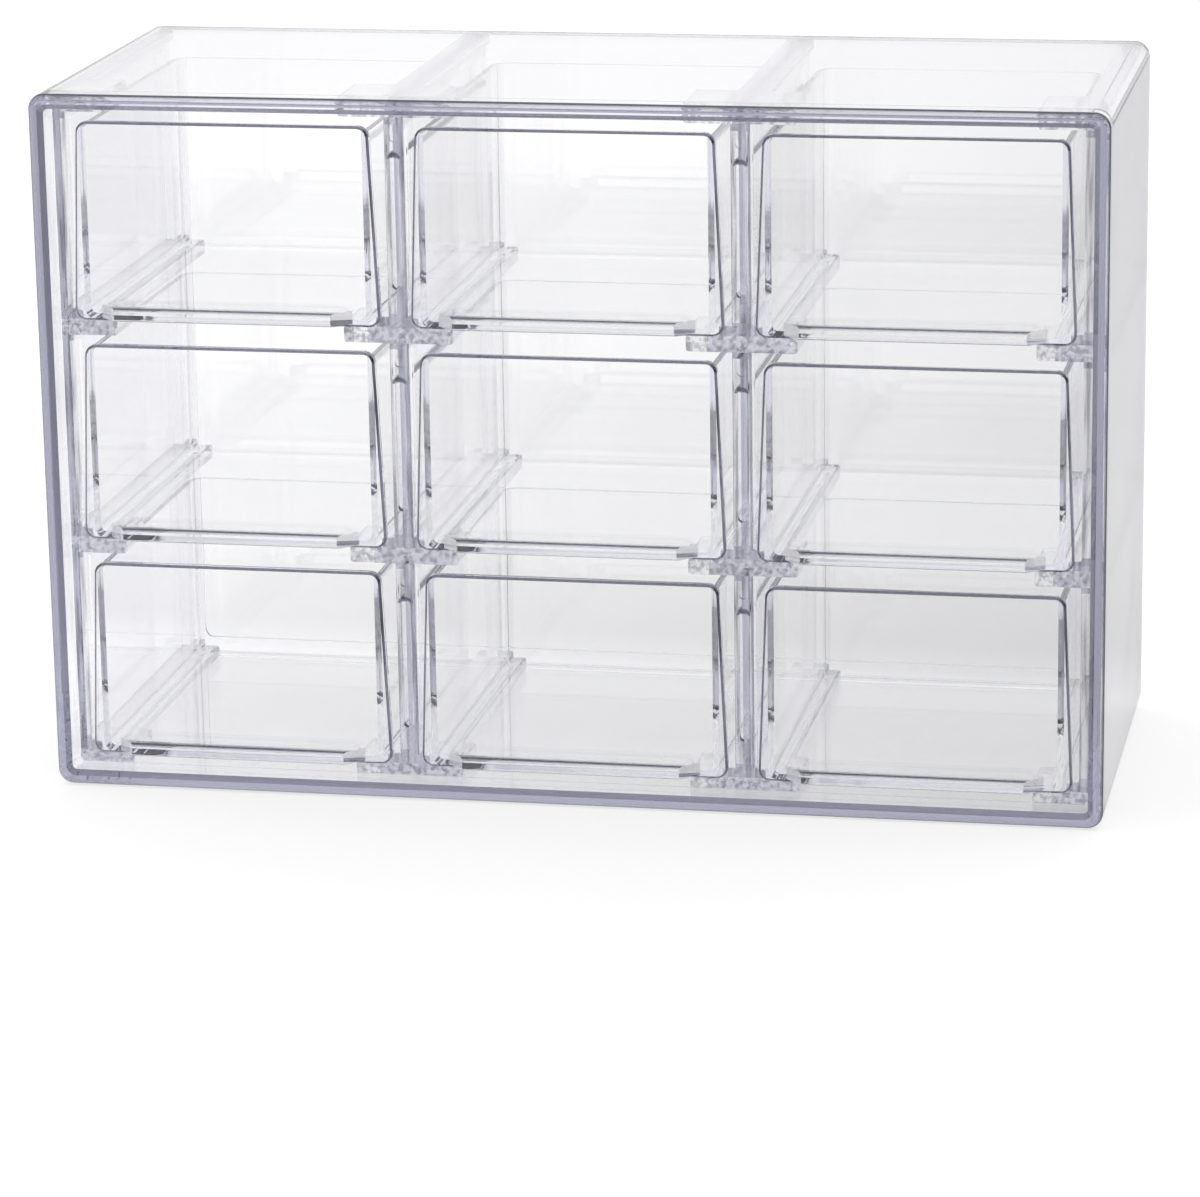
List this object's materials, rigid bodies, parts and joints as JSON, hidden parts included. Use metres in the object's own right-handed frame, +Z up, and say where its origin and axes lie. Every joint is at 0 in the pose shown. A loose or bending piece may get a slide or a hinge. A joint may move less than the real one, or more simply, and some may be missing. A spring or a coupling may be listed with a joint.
{
  "type": "craft stamp storage drawers",
  "caption": "Clear plastic desktop cabinet with a grid of shallow sliding drawers with finger lips, for craft stamps and small craft parts.",
  "frame": {"origin": "on the table, under the middle of the casing", "axes": "+X to the right seen from the front, +Y from the drawer fronts to the back panel, +Z up"},
  "size_m": [0.27, 0.11, 0.18],
  "materials": {
    "clear_casing": "clear moulded polystyrene, polished",
    "clear_rails": "clear moulded polystyrene, polished",
    "clear_drawers": "clear moulded polystyrene, polished"
  },
  "bodies": {
    "carcass": {"casing": "clear_casing", "back_panel": "clear_casing", "divider_left_bottom": "clear_rails", "divider_left_middle": "clear_rails", "divider_left_top": "clear_rails", "divider_right_bottom": "clear_rails", "divider_right_middle": "clear_rails", "divider_right_top": "clear_rails", "side_liner_left_bottom": "clear_rails", "side_liner_left_middle": "clear_rails", "side_liner_left_top": "clear_rails", "side_liner_right_bottom": "clear_rails", "side_liner_right_middle": "clear_rails", "side_liner_right_top": "clear_rails", "centre_runner_left_base": "clear_rails", "centre_runner_left_lower": "clear_rails", "centre_runner_left_upper": "clear_rails", "centre_runner_left_top": "clear_rails", "centre_runner_right_base": "clear_rails", "centre_runner_right_lower": "clear_rails", "centre_runner_right_upper": "clear_rails", "centre_runner_right_top": "clear_rails", "side_runner_left_base": "clear_rails", "side_runner_left_lower": "clear_rails", "side_runner_left_upper": "clear_rails", "side_runner_left_top": "clear_rails", "side_runner_right_base": "clear_rails", "side_runner_right_lower": "clear_rails", "side_runner_right_upper": "clear_rails", "side_runner_right_top": "clear_rails"},
    "drawer_bottom_left": {"drawer_bottom_left": "clear_drawers"},
    "drawer_bottom_middle": {"drawer_bottom_middle": "clear_drawers"},
    "drawer_bottom_right": {"drawer_bottom_right": "clear_drawers"},
    "drawer_middle_left": {"drawer_middle_left": "clear_drawers"},
    "drawer_middle_middle": {"drawer_middle_middle": "clear_drawers"},
    "drawer_middle_right": {"drawer_middle_right": "clear_drawers"},
    "drawer_top_left": {"drawer_top_left": "clear_drawers"},
    "drawer_top_middle": {"drawer_top_middle": "clear_drawers"},
    "drawer_top_right": {"drawer_top_right": "clear_drawers"}
  },
  "joints": [
    {"name": "drawer_bottom_left_slide", "type": "slide", "parent": "carcass", "child": "drawer_bottom_left", "axis": [0, -1, 0], "range_m": [0, 0.075]},
    {"name": "drawer_bottom_middle_slide", "type": "slide", "parent": "carcass", "child": "drawer_bottom_middle", "axis": [0, -1, 0], "range_m": [0, 0.075]},
    {"name": "drawer_bottom_right_slide", "type": "slide", "parent": "carcass", "child": "drawer_bottom_right", "axis": [0, -1, 0], "range_m": [0, 0.075]},
    {"name": "drawer_middle_left_slide", "type": "slide", "parent": "carcass", "child": "drawer_middle_left", "axis": [0, -1, 0], "range_m": [0, 0.075]},
    {"name": "drawer_middle_middle_slide", "type": "slide", "parent": "carcass", "child": "drawer_middle_middle", "axis": [0, -1, 0], "range_m": [0, 0.075]},
    {"name": "drawer_middle_right_slide", "type": "slide", "parent": "carcass", "child": "drawer_middle_right", "axis": [0, -1, 0], "range_m": [0, 0.075]},
    {"name": "drawer_top_left_slide", "type": "slide", "parent": "carcass", "child": "drawer_top_left", "axis": [0, -1, 0], "range_m": [0, 0.075]},
    {"name": "drawer_top_middle_slide", "type": "slide", "parent": "carcass", "child": "drawer_top_middle", "axis": [0, -1, 0], "range_m": [0, 0.075]},
    {"name": "drawer_top_right_slide", "type": "slide", "parent": "carcass", "child": "drawer_top_right", "axis": [0, -1, 0], "range_m": [0, 0.075]}
  ]
}
